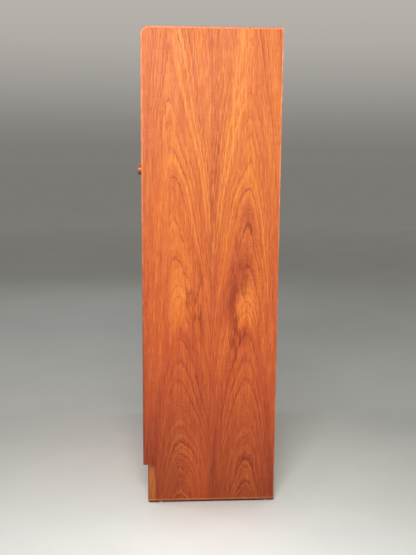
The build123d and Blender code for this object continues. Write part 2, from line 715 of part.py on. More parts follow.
def hinge_leaf(side, z, on_door):
    """One leaf of a butt hinge: its plate, and its own knuckles round the pin."""
    if on_door:
        plate_x = DOOR_LEAF_OUTER_X - LEAF_T / 2
        screw_x, screw_way = DOOR_LEAF_OUTER_X, outward(side)
        first_knuckle, bore_r = 1, PIN_R + PIN_CLEARANCE
    else:
        plate_x = FRAME_LEAF_INNER_X + LEAF_T / 2
        screw_x, screw_way = FRAME_LEAF_INNER_X, outward(-side)
        first_knuckle, bore_r = 0, PIN_R
    bottom, pitch = z - HINGE_LENGTH / 2, HINGE_LENGTH / KNUCKLES
    plate_y = HINGE_Y + BARREL_R + LEAF_FROM_BARREL
    with BuildPart() as leaf:
        with BuildSketch(Plane.XY.offset(bottom)):
            with Locations((side * plate_x, (plate_y + LEAF_END_Y) / 2)):
                Rectangle(LEAF_T, LEAF_END_Y - plate_y)
        extrude(amount=HINGE_LENGTH)
        for k in range(first_knuckle, KNUCKLES, 2):
            low = bottom + k * pitch + (KNUCKLE_GAP / 2 if k > 0 else 0)
            high = bottom + (k + 1) * pitch - (KNUCKLE_GAP / 2 if k < KNUCKLES - 1 else 0)
            with BuildSketch(Plane.XY.offset(low)):
                with Locations((side * HINGE_X, HINGE_Y)):
                    Circle(BARREL_R)
                with Locations((side * plate_x, (HINGE_Y + plate_y) / 2)):
                    Rectangle(LEAF_T, plate_y - HINGE_Y)
                with Locations((side * HINGE_X, HINGE_Y)):
                    Circle(bore_r, mode=Mode.SUBTRACT)
            extrude(amount=high - low)
        all_screws = hinge_screw_points(side, screw_x)
        HINGE_SCREW.seat([point for point in all_screws if abs(point[2] - z) < HINGE_LENGTH / 2], screw_way)
    return leaf


def hinge_pins(side):
    """The three pins of one door's hinges, each with a small cone-shaped head at both ends."""
    with BuildPart() as pins:
        for z in HINGE_Z.values():
            with Locations((side * HINGE_X, HINGE_Y, z)):
                Cylinder(PIN_R, HINGE_LENGTH)
            for end in (-1, 1):
                face = Plane(origin=(side * HINGE_X, HINGE_Y, z + end * HINGE_LENGTH / 2), z_dir=(0, 0, end))
                with BuildSketch(face):
                    Circle(BARREL_R - 0.4)
                extrude(amount=PIN_HEAD_H, taper=20)
    return pins


# Doors --------------------------------------------------------------------------------------------


def door_panel(side):
    """The veneered board of one door, inside its lippings."""
    board_outer_x = DOOR_OUTER_X - DOOR_LIPPING_T
    with BuildPart() as panel:
        block(
            (side * (DOOR_MEETING_X + DOOR_LIPPING_T), side * board_outer_x),
            (DOOR_FACE_Y, DOOR_BACK_Y),
            (DOOR_BOTTOM_Z + DOOR_LIPPING_T, DOOR_TOP_Z - DOOR_LIPPING_T),
        )
        KNOB_SCREW.seat([(side * KNOB_X, DOOR_BACK_Y, KNOB_Z)], PLUS_Y)
        screw_r, screw_length = HINGE_SCREW.shank_r, HINGE_SCREW.length
        drill(strike_screw_points(side, DOOR_BACK_Y), PLUS_Y, screw_r, screw_length - STRIKE_T)
        to_board = DOOR_LEAF_OUTER_X - board_outer_x
        drill(hinge_screw_points(side, board_outer_x), outward(side), screw_r, screw_length - to_board)
    return panel


def door_upright_lippings(side):
    """The two full-height solid strips of a door. The hinge leaves are let into the outer one."""
    meeting_x, outer_x = DOOR_MEETING_X, DOOR_OUTER_X
    with BuildPart() as strips:
        for near, far in ((meeting_x, meeting_x + DOOR_LIPPING_T), (outer_x - DOOR_LIPPING_T, outer_x)):
            block((side * near, side * far), (DOOR_FACE_Y, DOOR_BACK_Y), (DOOR_BOTTOM_Z, DOOR_TOP_Z))
        long_edges = strips.edges().filter_by(Axis.Z)
        fillet(outermost(long_edges, Axis.X, 1) + outermost(long_edges, Axis.X, -1), radius=DOOR_ARRIS_R)
        for z in HINGE_Z.values():
            block(
                (side * (outer_x - LEAF_LET_IN), side * outer_x),
                (DOOR_FACE_Y, LEAF_END_Y),
                (z - HINGE_LENGTH / 2, z + HINGE_LENGTH / 2),
                mode=Mode.SUBTRACT,
            )
        drill(hinge_screw_points(side, outer_x), outward(side), HINGE_SCREW.shank_r, DOOR_LIPPING_T)
    return strips


def door_cross_lippings(side):
    """The solid strips along a door's top and bottom, between the upright ones."""
    x_range = (side * (DOOR_MEETING_X + DOOR_LIPPING_T), side * (DOOR_OUTER_X - DOOR_LIPPING_T))
    with BuildPart() as strips:
        for low in (DOOR_BOTTOM_Z, DOOR_TOP_Z - DOOR_LIPPING_T):
            block(x_range, (DOOR_FACE_Y, DOOR_BACK_Y), (low, low + DOOR_LIPPING_T))
        long_edges = strips.edges().filter_by(Axis.X)
        fillet(outermost(long_edges, Axis.Z, 1) + outermost(long_edges, Axis.Z, -1), radius=DOOR_ARRIS_R)
    return strips


def door_knob(side):
    """A turned knob: a short neck that spreads at its foot, under a thick round head with a domed face."""
    foot_r, foot_t, neck_start, neck_end = KNOB_NECK_R + 3.0, 1.5, 6.0, 14.0
    head_back, dome_start = 18.0, 33.5
    dome_radius = (KNOB_R**2 + (KNOB_PROJECTION - dome_start) ** 2) / (2 * (KNOB_PROJECTION - dome_start))
    foot_centre = Plane(origin=(side * KNOB_X, DOOR_FACE_Y, KNOB_Z), x_dir=PLUS_X, z_dir=PLUS_Z)
    with BuildPart() as knob:
        with BuildSketch(foot_centre) as profile:
            with BuildLine():
                Polyline(
                    (0, -KNOB_PROJECTION),
                    (0, 0),
                    (foot_r, 0),
                    (foot_r, -foot_t),
                    (KNOB_NECK_R, -neck_start),
                    (KNOB_NECK_R, -neck_end),
                    (KNOB_R, -head_back),
                    (KNOB_R, -dome_start),
                )
                RadiusArc((KNOB_R, -dome_start), (0, -KNOB_PROJECTION), dome_radius)
            make_face()
            fillet(profile.vertices().group_by(Axis.X)[-1], radius=2.2)
        revolve(axis=Axis((side * KNOB_X, DOOR_FACE_Y, KNOB_Z), PLUS_Y))
        drill([(side * KNOB_X, DOOR_FACE_Y, KNOB_Z)], PLUS_Y, KNOB_SCREW.shank_r, KNOB_SCREW.length - DOOR_T)
    return knob


def strike_plates(side):
    """The steel plates on the back of a door that its two catches hold."""
    with BuildPart() as plates:
        for end in CATCH_ENDS.values():
            origin = (side * CATCH_X, DOOR_BACK_Y, magnet_z(end))
            with BuildSketch(Plane(origin=origin, x_dir=MINUS_X, z_dir=PLUS_Y)):
                RectangleRounded(STRIKE_LENGTH, STRIKE_HEIGHT, radius=2.5)
            extrude(amount=STRIKE_T)
        HINGE_SCREW.seat(strike_screw_points(side, DOOR_BACK_Y + STRIKE_T), PLUS_Y)
    return plates


def door_screws(side):
    """The small screws of one door, which are all alike: in its hinge leaves and its strike plates."""
    in_leaves = hinge_screw_points(side, DOOR_LEAF_OUTER_X)
    in_strikes = strike_screw_points(side, DOOR_BACK_Y + STRIKE_T)
    return screw_group(HINGE_SCREW, [(in_leaves, outward(side)), (in_strikes, PLUS_Y)])


def fitting_screws():
    """The screws of the rail sockets and the catches, which are all alike."""
    places = []
    for x, into_room in RAIL_ENDS.values():
        places.append((socket_screw_points(x + into_room * SOCKET_FLANGE_T), outward(into_room)))
    for side in SIDES.values():
        for end in CATCH_ENDS.values():
            places.append((catch_screw_points(side, end, CATCH_FOOT_T), (0, 0, end["into_room"])))
    return screw_group(FITTING_SCREW, places)


# The whole wardrobe -------------------------------------------------------------------------------


def carcase():
    """Every piece that stays still, by name."""
    pieces = {
        "top_panel": top_panel(),
        "top_nosing": top_nosing(),
        "bottom_panel": bottom_panel(),
        "bottom_front_lipping": bottom_front_lipping(),
        "back_panel": back_panel(),
        "back_panel_screws": screw_group(BACK_SCREW, [(ALL_BACK_SCREWS, PLUS_Y)]),
        "plinth_front_rail": plinth_front_rail(),
        "plinth_back_rail": plinth_back_rail(),
        "plinth_glue_blocks": plinth_glue_blocks(),
        "floor_glides": floor_glides(),
        "divider_panel": divider_panel(),
        "hat_shelf": hat_shelf(),
        "shelf_pegs": shelf_pegs(),
        "hanging_rail": hanging_rail(),
        "catch_pole_plates": catch_pole_plates(),
        "fitting_screws": fitting_screws(),
        "carcase_dowels": carcase_dowels(),
    }
    for name, level in SHELF_LEVELS.items():
        pieces[name] = loose_shelf(level)
    for name, (x, into_room) in RAIL_ENDS.items():
        pieces[f"{name}_rail_socket"] = rail_socket(x, into_room)
    for name, side in SIDES.items():
        pieces[f"{name}_side_panel"] = side_panel(side)
        pieces[f"{name}_side_edge_band"] = side_edge_band(side)
        pieces[f"{name}_side_rear_lipping"] = side_rear_lipping(side)
        pieces[f"{name}_door_catches"] = door_catches(side)
        pieces[f"{name}_hinge_pins"] = hinge_pins(side)
        for height, z in HINGE_Z.items():
            pieces[f"{name}_{height}_hinge_frame_leaf"] = hinge_leaf(side, z, on_door=False)
    frame_screws = [(hinge_screw_points(side, FRAME_LEAF_INNER_X), outward(-side)) for side in (-1, 1)]
    pieces["frame_hinge_screws"] = screw_group(HINGE_SCREW, frame_screws)
    return pieces


def door(name, side):
    """Every piece that swings with one door, by name."""
    pieces = {
        f"{name}_door_panel": door_panel(side),
        f"{name}_door_upright_lippings": door_upright_lippings(side),
        f"{name}_door_cross_lippings": door_cross_lippings(side),
        f"{name}_door_knob": door_knob(side),
        f"{name}_knob_screw": screw_group(KNOB_SCREW, [([(side * KNOB_X, DOOR_BACK_Y, KNOB_Z)], PLUS_Y)]),
        f"{name}_door_strike_plates": strike_plates(side),
        f"{name}_door_screws": door_screws(side),
    }
    for height, z in HINGE_Z.items():
        pieces[f"{name}_{height}_hinge_door_leaf"] = hinge_leaf(side, z, on_door=True)
    return pieces


wardrobe = carcase()
for door_name, door_side in SIDES.items():
    wardrobe.update(door(door_name, door_side))

os.makedirs("parts", exist_ok=True)
for piece_name, piece in wardrobe.items():
    piece.part.label = piece_name
    export_step(piece.part, f"parts/{piece_name}.step")
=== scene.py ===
from math import cos, radians, sin

import bpy
from mathutils import Matrix, Vector


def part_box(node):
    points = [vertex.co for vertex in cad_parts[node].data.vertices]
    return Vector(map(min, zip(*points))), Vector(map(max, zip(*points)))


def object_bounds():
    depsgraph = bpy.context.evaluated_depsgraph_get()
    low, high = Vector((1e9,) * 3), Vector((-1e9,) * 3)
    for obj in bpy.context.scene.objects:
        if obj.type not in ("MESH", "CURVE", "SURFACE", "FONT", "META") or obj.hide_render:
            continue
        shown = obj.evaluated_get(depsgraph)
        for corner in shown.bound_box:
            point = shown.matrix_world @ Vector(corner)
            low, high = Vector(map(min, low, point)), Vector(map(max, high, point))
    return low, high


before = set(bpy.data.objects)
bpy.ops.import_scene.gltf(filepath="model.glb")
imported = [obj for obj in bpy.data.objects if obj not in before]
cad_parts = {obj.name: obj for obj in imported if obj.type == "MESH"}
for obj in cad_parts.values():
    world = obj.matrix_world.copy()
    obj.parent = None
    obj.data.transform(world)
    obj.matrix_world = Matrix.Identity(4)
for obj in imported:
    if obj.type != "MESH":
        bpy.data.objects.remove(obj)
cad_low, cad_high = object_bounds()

# A teak wardrobe seen from its right-hand side, in a plain studio. Everything is in metres in the CAD
# frame: +Z up, the doors face -Y, and +X is on the right of someone who faces the doors.

# Places taken from the frame --------------------------------------------------------------------

side_low, side_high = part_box("right_side_panel")
FRONT_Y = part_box("right_side_edge_band")[0].y
BACK_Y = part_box("right_side_rear_lipping")[1].y
SIDE_X = side_high.x
FOOT_Z = side_low.z
TOP_Z = cad_high.z
DEPTH = BACK_Y - FRONT_Y
MID_Y = (FRONT_Y + BACK_Y) / 2

# Camera -----------------------------------------------------------------------------------------

CAMERA_FROM_SIDE = 2.888
CAMERA_BEHIND_FRONT = 0.0735
CAMERA_HEIGHT = 1.3952
CAMERA_YAW = radians(3.516)
CAMERA_PITCH = radians(9.513)
CAMERA_ROLL = radians(0.405)
LENS_MM = 49.95


def add_camera():
    """The camera faces the wardrobe's right side, turned a little to the back and tipped down."""
    straight_up = Vector((0, 0, 1))
    level_forward = Vector((-cos(CAMERA_YAW), sin(CAMERA_YAW), 0))
    forward = level_forward * cos(CAMERA_PITCH) - straight_up * sin(CAMERA_PITCH)
    level_right = forward.cross(straight_up).normalized()
    level_up = level_right.cross(forward)
    right = level_right * cos(CAMERA_ROLL) + level_up * sin(CAMERA_ROLL)
    up = level_up * cos(CAMERA_ROLL) - level_right * sin(CAMERA_ROLL)
    data = bpy.data.cameras.new("camera")
    data.lens = LENS_MM
    camera = bpy.data.objects.new("camera", data)
    camera.matrix_world = Matrix((right, up, -forward)).transposed().to_4x4()
    camera.location = (SIDE_X + CAMERA_FROM_SIDE, FRONT_Y + CAMERA_BEHIND_FRONT, CAMERA_HEIGHT)
    bpy.context.scene.collection.objects.link(camera)
    bpy.context.scene.camera = camera


# Building materials from nodes ------------------------------------------------------------------


class Nodes:
    """A material's node tree, with a short way to write each kind of node."""

    def __init__(self, name):
        self.material = bpy.data.materials.new(name)
        self.material.use_nodes = True
        self.tree = self.material.node_tree
        self.shader = self.tree.nodes["Principled BSDF"]
        coordinates = self.new("ShaderNodeTexCoord")
        self.place = coordinates.outputs["Object"]
        self.normal = coordinates.outputs["Normal"]
        self.x, self.y, self.z = self.split(self.place)

    def new(self, kind, settings=None, **inputs):
        node = self.tree.nodes.new(kind)
        for key, value in (settings or {}).items():
            setattr(node, key, value)
        for key, value in inputs.items():
            self.put(node.inputs[key.replace("_", " ")], value)
        return node

    def put(self, socket, value):
        if isinstance(value, bpy.types.NodeSocket):
            self.tree.links.new(value, socket)
        else:
            socket.default_value = value

    def split(self, vector):
        return self.new("ShaderNodeSeparateXYZ", Vector=vector).outputs

    def vector(self, x, y, z):
        return self.new("ShaderNodeCombineXYZ", X=x, Y=y, Z=z).outputs[0]

    def stretched(self, *scales):
        """The place on the object, with x, y and z each scaled on its own."""
        values = (self.x, self.y, self.z)
        return self.vector(*[self.times(value, scale) for value, scale in zip(values, scales)])

    def math(self, operation, *values):
        node = self.new("ShaderNodeMath", {"operation": operation})
        for socket, value in zip(node.inputs, values):
            self.put(socket, value)
        return node.outputs[0]

    def add(self, first, *others):
        for other in others:
            first = self.math("ADD", first, other)
        return first

    def times(self, first, *others):
        for other in others:
            first = self.math("MULTIPLY", first, other)
        return first

    def minus(self, a, b):
        return self.math("SUBTRACT", a, b)

    def absolute(self, value):
        return self.math("ABSOLUTE", value)

    def scaled(self, value, scale, shift=0.0):
        """value times scale, plus shift."""
        return self.math("MULTIPLY_ADD", value, scale, shift)

    def around_zero(self, noise, reach):
        """Noise from 0 to 1 becomes a push of half of reach either way."""
        return self.scaled(noise, reach, -reach / 2)

    def smooth(self, value, low, high, to_low=0.0, to_high=1.0):
        """to_low below low, to_high above high, and a smooth step between."""
        node = self.new("ShaderNodeMapRange", {"interpolation_type": "SMOOTHSTEP"}, Value=value)
        self.put(node.inputs["From Min"], low)
        self.put(node.inputs["From Max"], high)
        self.put(node.inputs["To Min"], to_low)
        self.put(node.inputs["To Max"], to_high)
        return node.outputs["Result"]

    def near(self, value, centre, inner, outer, inside=1.0, outside=0.0):
        """inside where value is within inner of centre, outside beyond outer of it, smooth between."""
        return self.smooth(self.absolute(self.minus(value, centre)), inner, outer, inside, outside)

    def noise(self, place, scale=1.0, detail=2.0, rough=0.5):
        node = self.new("ShaderNodeTexNoise", Vector=place, Scale=scale, Detail=detail, Roughness=rough)
        return node.outputs["Fac"]

    def line_noise(self, value, scale=1.0, detail=2.0, rough=0.5):
        """Noise along one number, for bands of uneven width."""
        node = self.new("ShaderNodeTexNoise", {"noise_dimensions": "1D"}, W=value, Scale=scale)
        self.put(node.inputs["Detail"], detail)
        self.put(node.inputs["Roughness"], rough)
        return node.outputs["Fac"]

    def ramp(self, value, *stops):
        """Colours at places from 0 to 1: each stop is (place, (red, green, blue))."""
        node = self.new("ShaderNodeValToRGB", Fac=value)
        elements = node.color_ramp.elements
        while len(elements) < len(stops):
            elements.new(0.5)
        for element, (place, colour) in zip(elements, stops):
            element.position = place
            element.color = (*colour, 1.0)
        return node.outputs["Color"]

    def mix(self, factor, a, b, blend="MIX"):
        node = self.new("ShaderNodeMix", {"data_type": "RGBA", "blend_type": blend})
        for socket, value in zip((node.inputs[0], node.inputs[6], node.inputs[7]), (factor, a, b)):
            self.put(socket, (*value, 1.0) if isinstance(value, tuple) else value)
        return node.outputs[2]

    def tint(self, factor, colour, tint):
        """colour, multiplied by tint as far as factor says."""
        return self.mix(factor, colour, tint, "MULTIPLY")

    def finish(self, colour, roughness, height, bump, bump_depth, **constants):
        """Join everything to the shader. constants are the shader inputs that are even all over."""
        self.put(self.shader.inputs["Base Color"], colour)
        self.put(self.shader.inputs["Roughness"], roughness)
        for key, value in constants.items():
            self.shader.inputs[key.replace("_", " ")].default_value = value
        node = self.new("ShaderNodeBump", Height=height, Strength=bump, Distance=bump_depth)
        self.put(self.shader.inputs["Normal"], node.outputs["Normal"])
        return self.material


# Crown-cut veneer -------------------------------------------------------------------------------

TEAK_DARK = (0.31, 0.060, 0.020)
TEAK_MID = (0.56, 0.132, 0.033)
TEAK_LIGHT = (0.65, 0.190, 0.034)
TEAK_STREAK = (0.76, 0.255, 0.045)
TEAK_TONES = ((0.10, TEAK_DARK), (0.48, TEAK_MID), (0.68, TEAK_LIGHT), (0.95, TEAK_STREAK))
PORE = (0.20, 0.045, 0.020)
CLOUD_TINT = (0.56, 0.42, 0.48)
# The next two tints are painted shade, redder and darker towards the veneer's foot; the third brightens a
# band beside the front leaf's seam there.
FOOT_SHADE_REDDER = (0.93, 0.58, 0.82)
FOOT_SHADE_DARKER = (0.63, 0.72, 0.66)
LIT_FOOT = (1.22, 1.15, 1.10)
GRAIN_SHADE = (0.92, 0.82, 0.66)
GRAIN_LIGHT = (1.05, 1.16, 1.38)
# For the wood's foot: a pale line, and the painted contact shadow along its lowest edge.
PALE_FOOT_LINE = (0.66, 0.25, 0.11)
CONTACT_SHADE = (0.22, 0.22, 0.26)

HEART_PLACE = 0.46  # the heart's distance from the leaf's outer edge, as a part of the leaf's width
LEAF_SLIP = 0.035  # how far each leaf's figure is slid along, one up and the other down
CLIMB = 0.37  # how fast ring grows with height
YEARS = 34.0  # years to each unit of ring

# Specular levels: the veneer has a satin varnish and solid wood a little more.
VENEER_SHINE = 0.18
SOLID_SHINE = 0.3

# Heights above the wood's lower end, for the painted contact shadow and the pale line above it.
CONTACT_SHADE_TOP = 0.0045
PALE_LINE_TOP = 0.013


def contact_shaded_foot(n, colour):
    """Wood near the floor: painted contact shadow darkens its lowest edge, with a pale line just above."""
    height = n.minus(n.z, FOOT_Z)
    pale_marks = n.times(n.smooth(height, 0.004, 0.006), n.smooth(height, 0.008, PALE_LINE_TOP, 0.4, 0.0))
    contact_shaded = n.smooth(height, 0.0025, CONTACT_SHADE_TOP, 1.0, 0.0)
    return n.tint(contact_shaded, n.mix(pale_marks, colour, PALE_FOOT_LINE), CONTACT_SHADE)


class CrownVeneer(Nodes):
    """Book-matched teak: two leaves meet in a seam, and pointed arches climb along each leaf's heart.

    Places on it are numbers in metres: run is up the leaf from the middle of the piece, from_seam and
    from_edge are across it, and off is from the heart towards the seam. side is -1 on the first leaf, which
    is the front one of a wardrobe's side, and 1 on the second or back leaf. ring grows from ring to ring,
    and also has the size of metres. Tones add up: 0 is the darkest teak and 1 the palest.

    No two pieces match: leaf is where in the noise a leaf is cut, rise lifts its bright and dark places,
    and ring_shift changes its lines.
    """

    def __init__(self, name, across, along, half_width, seed):
        """across and along are (direction, middle of the piece). seed moves the figure."""
        super().__init__(name)
        across_axis, across_mid = across
        self.along_axis, along_mid = along
        from_middle = self.minus(getattr(self, across_axis), across_mid)
        self.side = self.math("SIGN", from_middle)
        self.from_seam = self.absolute(from_middle)
        self.from_edge = self.minus(half_width, self.from_seam)
        self.leaf = self.scaled(self.side, 0.45, seed)
        slip = self.times(self.side, LEAF_SLIP)
        self.run = self.add(self.minus(getattr(self, self.along_axis), along_mid), slip)
        self.rise = 0.25 * sin(1.7 * seed)
        self.ring_shift = 0.37 * seed
        self.off = self.heart_offset(half_width)
        self.ring = self.ring_field()

    def by_leaf(self, first, second):
        """One value on the first leaf and another on the second."""
        return self.smooth(self.side, -0.5, 0.5, first, second)

    def grain_noise(self, along, across, detail=2.0, rough=0.5, across_from=None):
        """Noise with so many patches to the metre along the grain and across it.

        across_from is the distance that the patches follow across the leaf, instead of from_edge.
        """
        sideways = self.from_edge if across_from is None else across_from
        place = self.vector(self.times(self.run, along), self.times(sideways, across), self.leaf)
        return self.noise(place, 1.0, detail, rough)

    def heart_offset(self, half_width):
        """The heart leans towards the seam as it goes down. Its arches are steeper on the edge's side."""
        lean = self.times(self.run, self.by_leaf(-0.028, -0.004))
        wander = self.around_zero(self.grain_noise(1.2, 0.0), 0.06)
        heart = self.add(lean, wander, HEART_PLACE * half_width)
        waver = self.around_zero(self.grain_noise(5.0, 14.0), 0.020)
        off = self.add(self.minus(self.from_edge, heart), waver)
        return self.times(off, self.smooth(off, -0.03, 0.02, 1.35, 1.0))

    def ring_field(self):
        """Rings are arches, blunt at the foot and pointed at the top, that straighten beside the heart."""
        bluntness = self.smooth(self.run, -0.9, 0.7, 0.048, 0.007)
        arch = self.math("SQRT", self.add(self.times(self.off, self.off), self.times(bluntness, bluntness)))
        steepening = self.times(self.math("POWER", self.absolute(self.off), 3.0), 50.0)
        climb = self.times(self.run, self.scaled(self.run, -0.05, CLIMB))
        slow_warp = self.around_zero(self.grain_noise(2.3, 2.0, 1.0), 0.09)
        quick_warp = self.around_zero(self.grain_noise(34.0, 85.0, 2.0, 0.65), 0.019)
        return self.add(arch, steepening, climb, slow_warp, quick_warp, self.ring_shift)

    def growth_rings(self):
        """Each year is a thin dark line, then a slow climb to a bright band under the next line."""
        uneven = self.times(self.line_noise(self.ring, 13.0, 1.0), 2.4)
        year = self.math("FRACT", self.add(self.times(self.ring, YEARS), uneven))
        line = self.add(self.smooth(year, 0.02, 0.20, -0.32, 0.0), self.smooth(year, 0.93, 1.0, 0.0, -0.32))
        climb = self.scaled(year, 0.22, -0.05)
        patchy = self.smooth(self.grain_noise(3.5, 14.0), 0.35, 0.65, 0.1, 1.0)
        weak_foot = self.smooth(self.run, -0.85, -0.45, 0.30, 1.0)
        weak_edge = self.smooth(self.from_edge, 0.0, 0.09, 0.45, 1.0)
        return self.times(self.add(line, climb), patchy, weak_foot, weak_edge)

    def fine_rings(self):
        """Fine lines between the years are strongest at the foot, where the heart has a set of its own.

        Broad bands, many years wide, lie under them.
        """
        lines = self.add(self.around_zero(self.line_noise(self.ring, 95.0, 1.0), 0.36),
                         self.around_zero(self.line_noise(self.ring, 230.0, 1.0), 0.432))
        patchy = self.smooth(self.grain_noise(4.0, 17.0), 0.3, 0.7, 0.35, 1.0)
        strong_foot = self.smooth(self.run, -0.80, -0.30, 2.2, 1.0)
        even = self.around_zero(self.line_noise(self.ring, 170.0, 0.0), 1.6)
        at_foot = self.smooth(self.run, -0.85, -0.50, 0.42, 0.0)
        at_heart = self.near(self.off, 0.0, 0.03, 0.09)
        broad = self.around_zero(self.line_noise(self.ring, 9.0, 1.0), 0.46)
        lines = self.times(lines, patchy, strong_foot)
        return self.add(lines, self.times(even, at_foot, at_heart), broad)

    def fibres(self, fibre):
        """Fibres run straight, whatever the rings do, and a silky ripple crosses them in places."""
        streaks = self.around_zero(self.grain_noise(4.5, 120.0, 3.0, 0.65), 0.56)
        rippled = self.smooth(self.grain_noise(3.0, 11.0), 0.44, 0.66, 0.0, 0.22)
        ripple = self.around_zero(self.grain_noise(125.0, 18.0, 1.0), 1.0)
        return self.add(streaks, self.around_zero(fibre, 0.36), self.times(ripple, rippled))

    def heart_shades(self):
        """Both hearts are bright in one place, and the back leaf's rings are dusky above that."""
        local_ring = self.minus(self.ring, self.ring_shift + CLIMB * self.rise)
        glow = self.times(self.near(local_ring, -0.006, 0.020, 0.042, 0.36, 0.04),
                          self.near(self.off, 0.0, 0.010, 0.060))
        dusky = self.by_leaf(0.0, self.near(local_ring, 0.066, 0.020, 0.070, -0.30))
        inside = self.smooth(self.off, -0.07, -0.01)
        above = self.smooth(self.run, self.rise - 0.25, self.rise + 0.05)
        broken = self.smooth(self.grain_noise(8.0, 120.0, 2.0, 0.6), 0.30, 0.60, 0.60, 1.0)
        return self.add(glow, self.times(dusky, inside, above, broken))

    def seam_and_edge_shades(self):
        """The seam divides light wood from dark, and the outer edges are dark towards the foot."""
        at_seam = self.by_leaf(self.smooth(self.run, -0.78, -0.40, 0.06, -0.02),
                               self.smooth(self.run, -0.80, -0.50, -0.05, -0.12))
        beside_seam = self.smooth(self.from_seam, 0.015, self.by_leaf(0.09, 0.05), 1.0, 0.0)
        foot_edge = self.by_leaf(-0.24, -0.12)
        high_edge = self.by_leaf(-0.04, self.smooth(self.run, 0.10, 0.50, -0.04, 0.06))
        at_edge = self.smooth(self.run, -0.85, -0.45, foot_edge, high_edge)
        edges = self.smooth(self.from_edge, 0.0, 0.10, at_edge, 0.0)
        return self.add(self.times(at_seam, beside_seam), edges)

    def pale_streaks(self):
        """Two pale rings fall from beside the heart to the seam, with flecks between them and the seam.

        High on the back leaf, a wide band of pale streaks slants towards the seam.
        """
        first = self.minus(self.ring, self.by_leaf(self.ring_shift + 0.294, self.ring_shift + 0.266))
        rings = self.math("MAXIMUM", self.near(first, 0.0, 0.002, 0.010, 0.9),
                          self.near(first, 0.034, 0.002, 0.010, 0.9))
        seam_side = self.smooth(self.off, 0.008, 0.022)
        broken = self.smooth(self.grain_noise(11.0, 300.0, 2.0, 0.6), 0.32, 0.56, 0.30, 1.0)
        high = self.smooth(self.run, -0.15, 0.45)
        rings = self.times(rings, seam_side, broken, high)

        flecks = self.smooth(self.grain_noise(22.0, 230.0, 2.0), 0.50, 0.68, 0.0, 0.5)
        flecks = self.times(flecks, seam_side, self.smooth(first, -0.03, 0.02))

        slanting = self.add(self.from_edge, self.times(self.run, 0.118))
        band = self.by_leaf(0.0, self.near(slanting, 0.242, 0.012, 0.045, 0.90))
        band_streaks = self.smooth(self.grain_noise(4.0, 150.0, 2.0, 0.6), 0.40, 0.62, 0.1, 1.0)
        band = self.times(band, self.smooth(self.run, 0.30, 0.60), band_streaks)
        return self.math("MAXIMUM", self.math("MAXIMUM", rings, band), flecks)

    def ragged_patches(self):
        """Patches with torn ends. The back leaf's are moved towards its outer edge."""
        moved = self.add(self.from_edge, self.by_leaf(0.0, 0.034))
        patches = self.grain_noise(9.0, 30.0, 2.0, 0.55, across_from=moved)
        torn = self.around_zero(self.grain_noise(14.0, 190.0, 2.0, 0.6), 0.5)
        return self.smooth(self.add(patches, torn), 0.46, 0.62)

    def clouded(self, colour, patches):
        """Dark clouds lie between the heart and the seam, about halfway up."""
        halfway = self.near(self.run, self.rise - 0.13, 0.04, 0.28, 1.0, 0.08)
        beside_heart = self.near(self.off, self.by_leaf(0.066, 0.032), 0.01, 0.055, 1.0, 0.1)
        return self.tint(self.times(patches, halfway, beside_heart), colour, CLOUD_TINT)

    def painted_foot_shade(self, colour):
        """Painted shade: the veneer turns redder and then darker towards its foot, but less beside the
        front leaf's seam.
        """
        colour = self.tint(self.smooth(self.run, -0.95, 0.60, 1.0, 0.0), colour, FOOT_SHADE_REDDER)
        colour = self.tint(self.smooth(self.run, -0.95, -0.15, 1.0, 0.0), colour, FOOT_SHADE_DARKER)
        lit = self.by_leaf(self.near(self.from_seam, 0.055, 0.012, 0.070), 0.0)
        at_foot = self.smooth(self.run, -0.76, -0.62, 1.0, 0.0)
        return self.tint(self.times(lit, at_foot), colour, LIT_FOOT)

    def open_grain(self, colour, pores):
        """Open grain is greyer, as it holds light along one lip and shade along the other.

        The pores and the seam are dark lines.
        """
        grain = self.smooth(self.grain_noise(26.0, 240.0, 2.0, 0.6), 0.30, 0.70)
        colour = self.tint(1.0, colour, self.mix(grain, GRAIN_SHADE, GRAIN_LIGHT))
        colour = self.mix(self.times(pores, 0.30), colour, PORE)
        seam_line = self.smooth(self.from_seam, 0.0004, 0.0012, 0.45, 0.0)
        return self.mix(seam_line, colour, PORE)

    def build(self):
        """Add the tones up, colour them, and give the finished material."""
        fibre = self.grain_noise(9.0, 420.0, 2.0, 0.7)
        pores = self.smooth(self.grain_noise(60.0, 1300.0, 1.0), 0.60, 0.72)
        patches = self.ragged_patches()
        tone = self.add(self.growth_rings(), self.fine_rings(), self.fibres(fibre), self.heart_shades(),
                        self.seam_and_edge_shades(), 0.50)
        colour = self.ramp(tone, *TEAK_TONES)
        colour = self.mix(self.pale_streaks(), colour, TEAK_STREAK)
        # Dark clouds, then painted shade towards the foot.
        colour = self.painted_foot_shade(self.clouded(colour, patches))
        colour = self.open_grain(colour, pores)
        # Upright veneer gets painted contact shadow at its foot.
        if self.along_axis == "z":
            colour = contact_shaded_foot(self, colour)
        roughness = self.add(self.scaled(fibre, 0.16, 0.38), self.times(patches, 0.06))
        height = self.add(self.times(fibre, 0.5), self.times(pores, -0.8))
        return self.finish(colour, roughness, height, 0.22, 0.0004, Specular_IOR_Level=VENEER_SHINE)


# Straight-grained and turned wood ---------------------------------------------------------------

# Each palette is (dark, mid, light).
LIPPING = ((0.38, 0.088, 0.030), (0.56, 0.145, 0.045), (0.68, 0.205, 0.065))
PLINTH = ((0.19, 0.038, 0.008), (0.34, 0.074, 0.014), (0.47, 0.122, 0.022))
INSIDE = ((0.26, 0.105, 0.045), (0.42, 0.185, 0.080), (0.55, 0.27, 0.13))
PLYWOOD = ((0.36, 0.22, 0.12), (0.50, 0.33, 0.19), (0.60, 0.43, 0.27))
RAW_WOOD = ((0.42, 0.28, 0.15), (0.56, 0.40, 0.23), (0.66, 0.50, 0.31))
KNOB = ((0.36, 0.088, 0.016), (0.66, 0.180, 0.026), (0.84, 0.30, 0.045))
PLYWOOD_PORE = (0.26, 0.15, 0.08)

# The colours of rubbed patches on solid strips.
SCUFF = (0.63, 0.180, 0.052)
PINK_SCUFF = (0.74, 0.27, 0.12)
PALE_SCUFF = (0.92, 0.40, 0.20)
